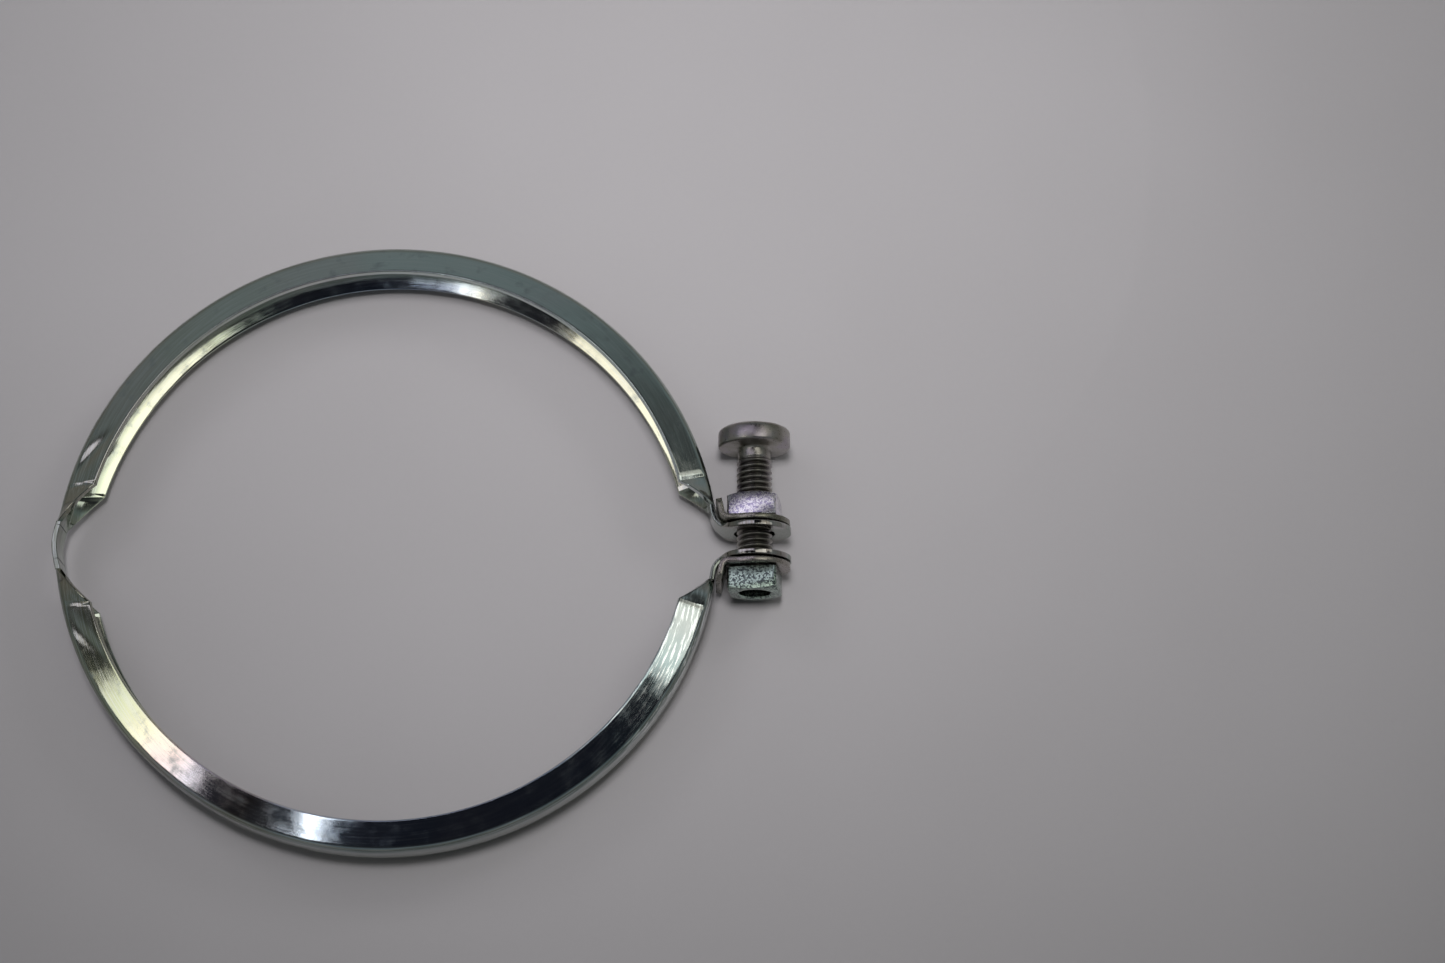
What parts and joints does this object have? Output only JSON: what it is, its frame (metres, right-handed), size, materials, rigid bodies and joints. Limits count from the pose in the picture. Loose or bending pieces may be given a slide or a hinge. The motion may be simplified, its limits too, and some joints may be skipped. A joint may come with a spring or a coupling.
{
  "type": "hose clamp",
  "caption": "V-profile band clamp with a flexible bridge, round ears, lock plates, square nuts and one clamp screw.",
  "frame": {"origin": "centre of the underside of the clamp's bounding box, with the clamp lying flat", "axes": "+X from the bridge strap to the screw, +Y along the screw towards its head, +Z along the ring's axis, up"},
  "size_m": [0.1228, 0.1048, 0.0123],
  "materials": {
    "band_zinc": "bright zinc plate, polished, with fine scratches along the band",
    "plate_zinc": "zinc plate, satin",
    "bright_nut_zinc": "zinc plate, finely speckled",
    "dark_nut_zinc": "zinc plate, dull and finely speckled",
    "screw_zinc": "zinc plate, satin, slightly warm"
  },
  "bodies": {
    "lower_half": {"lower_band_half": "band_zinc", "lower_lock_plate": "plate_zinc", "lower_nut": "dark_nut_zinc"},
    "bridge": {"bridge_strap": "band_zinc"},
    "upper_half": {"upper_band_half": "band_zinc", "upper_lock_plate": "plate_zinc"},
    "upper_nut": {"upper_nut": "bright_nut_zinc"},
    "screw": {"clamp_screw": "screw_zinc"}
  },
  "joints": [
    {"name": "tightening_flex", "type": "hinge", "parent": "lower_half", "child": "bridge", "pos_m": [-0.06046, -0.0027, 0.00615], "axis": [0, 0, 1], "range_deg": [-1.75, 1]},
    {"name": "opening_flex", "type": "hinge", "parent": "bridge", "child": "upper_half", "pos_m": [-0.06046, 0.0027, 0.00615], "axis": [0, 0, 1], "range_deg": [0, 32]},
    {"name": "nut_travel", "type": "slide", "parent": "upper_half", "child": "upper_nut", "axis": [0, 1, 0], "range_m": [0, 0.0084]},
    {"name": "screw_turn", "type": "hinge", "parent": "upper_half", "child": "screw", "pos_m": [0.05528, 0, 0.00615], "axis": [0, 1, 0], "range_deg": [-1260, 720]}
  ],
  "couplings": [
    {"joint": "tightening_flex", "follows": "screw_turn", "ratio": 0.0013751}
  ]
}
